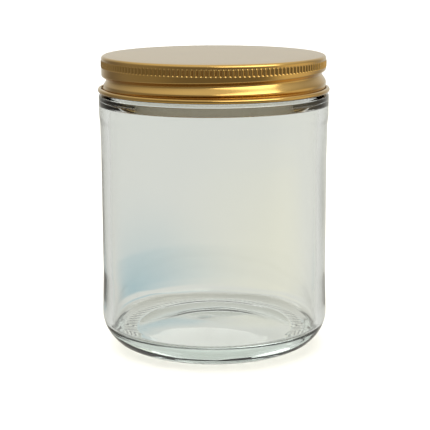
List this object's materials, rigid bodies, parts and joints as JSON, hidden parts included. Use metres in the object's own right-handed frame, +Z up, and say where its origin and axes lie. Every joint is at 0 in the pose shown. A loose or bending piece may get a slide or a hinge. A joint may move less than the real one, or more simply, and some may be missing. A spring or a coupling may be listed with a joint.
{
  "type": "mason jar",
  "caption": "Straight-sided clear glass jar with a threaded neck and a one-piece gold metal screw lid with a foam sealing disc.",
  "frame": {"origin": "centre of the jar's footprint, on the surface it stands on", "axes": "+Z up along the jar's axis, towards the lid; -Y is the front of the pictured view, where the lid's rolled groove is about halfway along its turn"},
  "size_m": [0.0734, 0.0734, 0.0935],
  "materials": {
    "clear_glass": "clear, smooth, moulded",
    "gold_lacquer": "satin gold lacquer over thin tinplate",
    "white_foam": "matt white foam"
  },
  "bodies": {
    "jar": {"glass_jar": "clear_glass"},
    "liner": {"lid_liner": "white_foam"},
    "lid": {"lid_shell": "gold_lacquer"}
  },
  "joints": [
    {"name": "lid_lift", "type": "slide", "parent": "jar", "child": "liner", "axis": [0, 0, 1], "range_m": [0, 0.02541]},
    {"name": "lid_turn", "type": "hinge", "parent": "liner", "child": "lid", "pos_m": [0, 0, 0.0935], "axis": [0, 0, 1], "range_deg": [0, 2160]}
  ],
  "couplings": [
    {"joint": "lid_lift", "follows": "lid_turn", "m_per_rad": 0.00067375}
  ]
}
